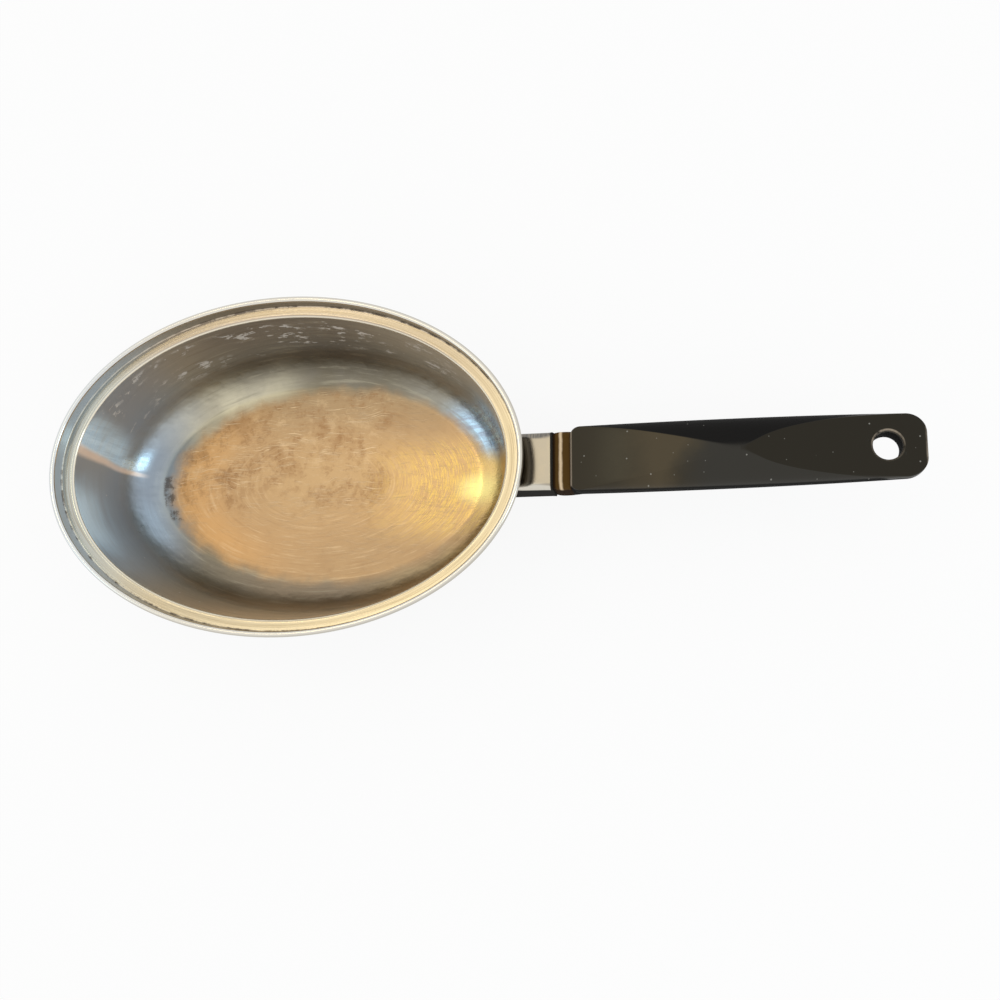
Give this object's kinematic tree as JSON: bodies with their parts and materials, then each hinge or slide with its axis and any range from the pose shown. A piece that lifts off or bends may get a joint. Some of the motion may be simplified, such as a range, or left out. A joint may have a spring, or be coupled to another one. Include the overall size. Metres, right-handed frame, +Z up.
{
  "type": "oval frying pan",
  "caption": "Oval steel frying pan with a stepped lid seat, a curled lip, a polished flame guard and a faceted black moulded handle with a hang hole.",
  "frame": {"origin": "middle of the flat base, on the table", "axes": "+X along the handle, away from the pan; +Z up; +Y across the pan"},
  "size_m": [0.3772, 0.1502, 0.0541],
  "materials": {
    "pan_steel": "used satin stainless steel with heat tint on the floor",
    "polished_steel": "polished stainless steel",
    "bracket_steel": "plain rolled steel",
    "zinc_steel": "zinc-plated steel",
    "black_phenolic": "glossy moulded phenolic"
  },
  "bodies": {
    "root": {"pan_body": "pan_steel", "handle_bracket": "bracket_steel", "flame_guard": "polished_steel", "handle": "black_phenolic", "tang_nut": "zinc_steel", "handle_screw": "zinc_steel", "lock_washer": "zinc_steel"}
  },
  "joints": []
}
